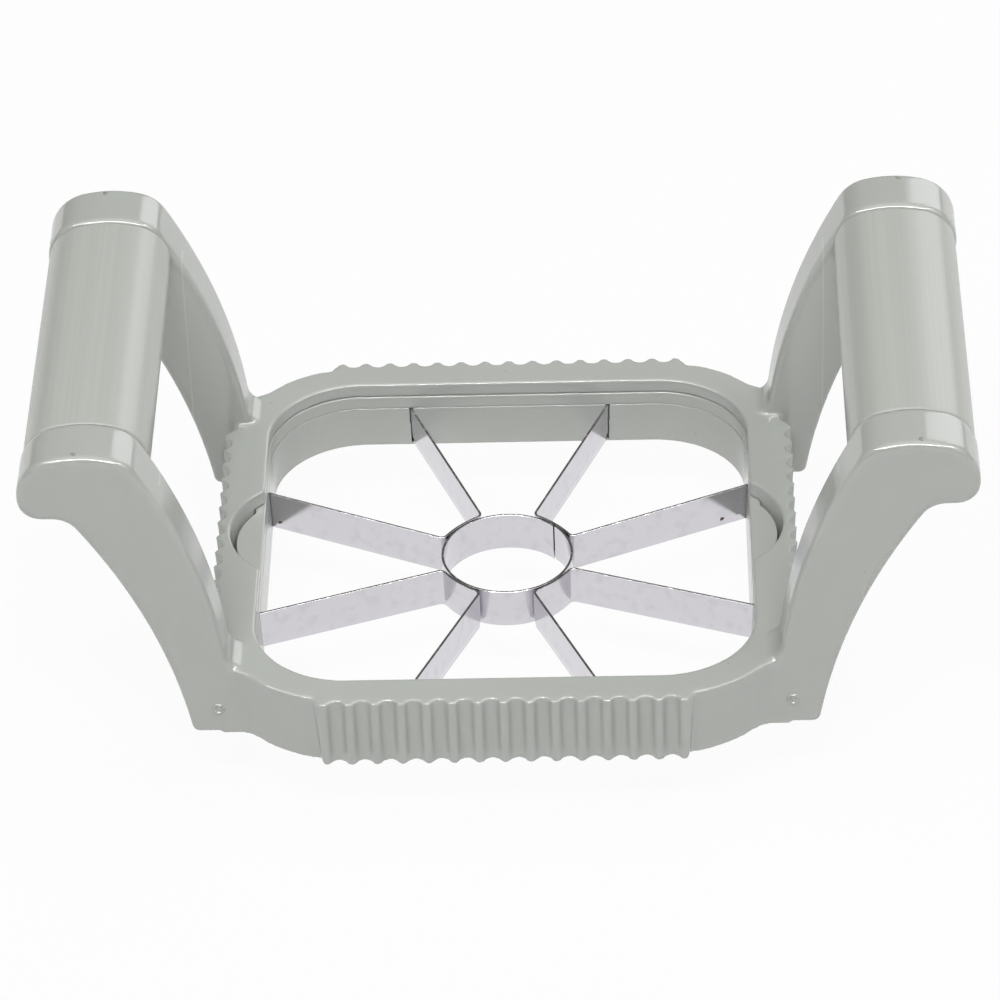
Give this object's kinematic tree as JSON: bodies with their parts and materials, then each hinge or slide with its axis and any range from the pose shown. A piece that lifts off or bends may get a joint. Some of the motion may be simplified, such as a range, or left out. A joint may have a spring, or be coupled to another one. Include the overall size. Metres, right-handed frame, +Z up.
{
  "type": "apple slicer and wedger press",
  "caption": "Square fluted press frame with two raised bar grips on bowed arms and a drop-out cassette of thin radial steel blades round a core ring.",
  "frame": {"origin": "centre of the base, on the surface that the tool stands on", "axes": "+Z up, +X to the right across the two grips, +Y to the rear along the grips"},
  "size_m": [0.185, 0.117, 0.068],
  "materials": {
    "grey_plastic": "semi-gloss moulded grey plastic",
    "grip_plastic": "semi-gloss extruded grey plastic with fine lengthwise lines",
    "cassette_plastic": "semi-gloss moulded grey plastic",
    "blade_steel": "bright rolled stainless strip"
  },
  "bodies": {
    "frame": {"frame": "grey_plastic", "grip_left": "grip_plastic", "grip_right": "grip_plastic"},
    "blade_cassette": {"cassette_lower": "cassette_plastic", "cassette_upper": "cassette_plastic", "core_ring": "blade_steel", "blade_strip_rear_right": "blade_steel", "blade_strip_rear_left": "blade_steel", "blade_strip_front_left": "blade_steel", "blade_strip_front_right": "blade_steel"}
  },
  "joints": [
    {"name": "cassette_release", "type": "slide", "parent": "frame", "child": "blade_cassette", "axis": [0, 0, -1], "range_m": [0, 0.015]}
  ]
}
